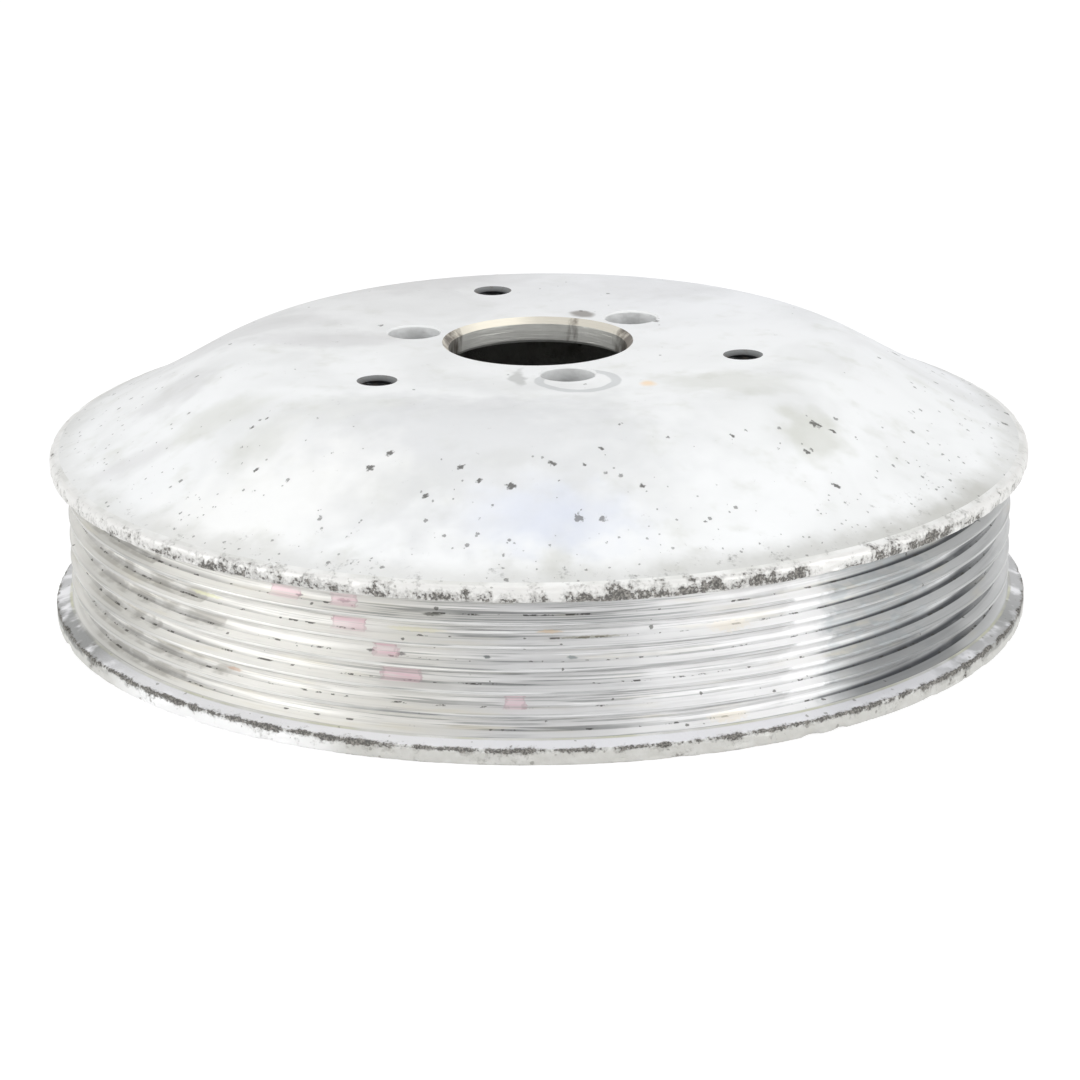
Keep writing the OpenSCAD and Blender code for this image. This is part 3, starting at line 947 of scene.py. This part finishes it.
def underside():
    """The hidden side: a plain cast hollow with a turned seat and a turned resting face."""
    s = Surface("underside")
    cloudy = s.noise(s.place, 0.06, 4.0, 0.6)
    color = s.mix(s.smooth(cloudy, 0.35, 0.7), tone(176, 175, 171), tone(146, 145, 140))
    resting_face = s.smooth(s.radius, hollow_r + 0.4, hollow_r + 0.8)
    turned = s.plus(resting_face, s.smooth(s.radius, 39.0, 40.5, 1.0, 0.0))
    color = s.mix(s.times(turned, 0.8), color, tone(206, 206, 203))
    rings = s.noise(s.vector(s.radius, 0.0, s.times(s.z, 0.3)), 3.0, 3.0, 0.7)
    color = s.mix(s.times(s.smooth(rings, 0.5, 0.75), turned, 0.35), color, tone(150, 150, 147))
    dust = s.noise(s.place, 0.25, 4.0, 0.65)
    color = s.mix(s.smooth(dust, 0.5, 0.75, 0.0, 0.6), color, tone(104, 99, 90))
    specks = s.spots(s.place, 2.4, 0.3, 0.15, 0.45, 0.6)
    color = s.mix(s.times(specks, 0.7), color, tone(70, 67, 61))
    grit = grit_layer(s)
    color = s.mix(s.times(grit, 0.8), color, GRIT_BLACK)
    grain = s.noise(s.place, 1.1, 4.0, 0.65)
    height = s.plus(s.times(grain, s.smooth(turned, 0.0, 1.0, 0.9, 0.1)), s.times(rings, turned, 0.3))
    roughness = s.smooth(turned, 0.0, 1.0, 0.62, 0.42)
    return s.finish(color, 0.6, roughness, height, 0.16)


def bore_wall():
    """The bore: a bright chamfer and a dull wall with brown stains."""
    s = Surface("bore_wall")
    chamfer = s.smooth(s.z, hub_top_z - bore_top_chamfer - 0.1, hub_top_z - bore_top_chamfer + 0.1)
    # The chamfer's brightness round the bore is a painted sheen, brightest at the back left
    sheen = s.curve(s.azimuth, [
        (-180, 0.45), (-165, 0.9), (-140, 0.95), (-120, 0.6), (-60, 0.4), (0, 0.6), (90, 0.5), (165, 0.35),
        (180, 0.45)])
    wall = s.mix(s.noise(s.place, 0.4, 3.0), tone(236, 236, 232), tone(208, 208, 202))
    edge = s.mix(sheen, tone(176, 172, 164), tone(250, 244, 228))
    color = s.mix(chamfer, wall, edge)
    stain = s.noise(s.stretched(1.0, 0.35), 0.5, 3.0, 0.6)
    ends = s.curve(s.azimuth, [
        (-180, 0.1), (-152, 0.0), (-132, 0.1), (-116, 0.5), (-84, 0.45), (-60, 0.1), (60, 0.1), (84, 0.55),
        (112, 0.5), (128, 0.2), (146, 0.1), (154, 0.45), (160, 0.4), (164, 0.1), (180, 0.1)])
    brown = s.smooth(s.plus(s.times(stain, 0.6), ends), 0.62, 0.85)
    color = s.mix(s.times(brown, 0.9), color, tone(72, 60, 50))
    height = s.noise(s.stretched(0.05), 4.0, 3.0)
    return s.finish(color, 0.6, 0.38, height, 0.05)


def hole_wall():
    """The bolt holes' plain walls."""
    s = Surface("hole_wall")
    color = s.mix(s.noise(s.place, 0.5, 3.0), tone(246, 247, 247), tone(226, 227, 226))
    return s.finish(color, 0.4, 0.42, s.noise(s.place, 1.5, 3.0), 0.06)


def thread_wall():
    """The puller holes' threads, dark with old grease."""
    s = Surface("thread_wall")
    upper = s.smooth(s.z, hub_top_z - puller_hole_chamfer - 0.3, hub_top_z, 0.0, 1.0)
    color = s.mix(upper, tone(54, 55, 57), tone(128, 130, 130))
    color = s.mix(s.smooth(s.noise(s.place, 0.8, 3.0), 0.5, 0.75, 0.0, 0.6), color, tone(96, 84, 72))
    return s.finish(color, 0.4, 0.5, s.noise(s.place, 2.0, 3.0), 0.08)


# The studio

camera_elevation = 17.964
camera_distance = 607.425
camera_aim_z = 8.759
camera_aim_x = 0.036
camera_roll = -0.616
camera_lens = 122.61
floor_size = 6000
# The floor lies this far under the rim, so that the two faces never share one plane
floor_gap = 0.02
floor_glow = 0.62
floor_light = 1.3
sky_color = (0.97, 0.98, 1.0, 1)
sky_strength = 0.39


def place_camera():
    """A long lens at the photograph's height, turned a little about its own axis."""
    data = bpy.data.cameras.new("camera")
    data.sensor_width = 36
    data.lens = camera_lens
    data.clip_start, data.clip_end = 0.01, 50
    camera = bpy.data.objects.new("camera", data)
    bpy.context.scene.collection.objects.link(camera)
    rise = math.radians(camera_elevation)
    away = Vector((0, -math.cos(rise), math.sin(rise))) * camera_distance
    tilt = (Matrix.Rotation(math.radians(90) - rise, 4, "X")
            @ Matrix.Rotation(math.radians(camera_roll), 4, "Z"))
    camera.matrix_world = Matrix.Translation((Vector((camera_aim_x, 0, camera_aim_z)) + away) * MM) @ tilt
    bpy.context.scene.camera = camera


def seen_by_eye(g):
    """1 for rays from the camera and for those in a reflection or a clear material."""
    path = g.node("LightPath").outputs
    return g.most(path["Is Camera Ray"], path["Is Glossy Ray"], path["Is Transmission Ray"])


def lay_floor():
    """A white floor that glows a little where the camera sees it, and still takes the shadow."""
    half, floor_z = floor_size / 2 * MM, -floor_gap * MM
    mesh = bpy.data.meshes.new("floor")
    corners = [(-half, -half), (half, -half), (half, half), (-half, half)]
    mesh.from_pydata([(x, y, floor_z) for x, y in corners], [], [(0, 1, 2, 3)])
    floor = bpy.data.objects.new("floor", mesh)
    bpy.context.scene.collection.objects.link(floor)
    s = Surface("floor")
    mesh.materials.append(s.material)
    outside = s.smooth(s.radius, hollow_r, ridge_r)
    glow = s.times(seen_by_eye(s), outside, floor_glow)
    matt = s.node("BsdfDiffuse", {"Color": (0.9, 0.9, 0.9, 1)}).outputs[0]
    light = s.node("Emission", {"Color": (1, 1, 1, 1), "Strength": floor_light}).outputs[0]
    both = s.node("MixShader", {0: glow, 1: matt, 2: light}).outputs[0]
    s.node("OutputMaterial", {"Surface": both})


def light_world():
    world = bpy.data.worlds.new("studio")
    bpy.context.scene.world = world
    world.use_nodes = True
    g = Graph(world.node_tree)
    sky = g.node("Background", {"Color": sky_color, "Strength": sky_strength}).outputs[0]
    white = g.node("Background", {"Color": (1, 1, 1, 1), "Strength": 1.0}).outputs[0]
    both = g.node("MixShader", {0: seen_by_eye(g), 1: sky, 2: white}).outputs[0]
    g.node("OutputWorld", {"Surface": both})


# Soft boxes: name, azimuth, distance and height in metres, width and height in metres, and power in watts
SOFT_BOXES = [
    ("key", 62, 1.4, 0.5, 1.15, 0.8, 10.0),
    ("fill", -70, 1.4, 0.5, 1.0, 0.8, 9.6),
    ("front", 0, 1.4, 0.35, 1.0, 0.5, 2.2),
    ("top", 175, 0.7, 1.65, 1.6, 1.6, 7.0),
]


def hang_lamps():
    for name, azimuth, distance, height, width, tall, power in SOFT_BOXES:
        turn = math.radians(azimuth)
        place = (distance * math.sin(turn), -distance * math.cos(turn), height)
        data = bpy.data.lights.new(name, "AREA")
        data.shape, data.size, data.size_y, data.energy = "RECTANGLE", width, tall, power
        lamp = bpy.data.objects.new(name, data)
        bpy.context.scene.collection.objects.link(lamp)
        lamp.location = place
        lamp.rotation_euler = (-Vector(place)).to_track_quat("-Z", "Y").to_euler()


place_camera()
lay_floor()
light_world()
hang_lamps()
makers = [cast_face, flange_edge, belt_band, underside, bore_wall, hole_wall, thread_wall]
pulley = build_pulley({maker.__name__: maker() for maker in makers})
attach(pulley, "root")
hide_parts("pulley")
bpy.context.scene.view_settings.view_transform = "Standard"
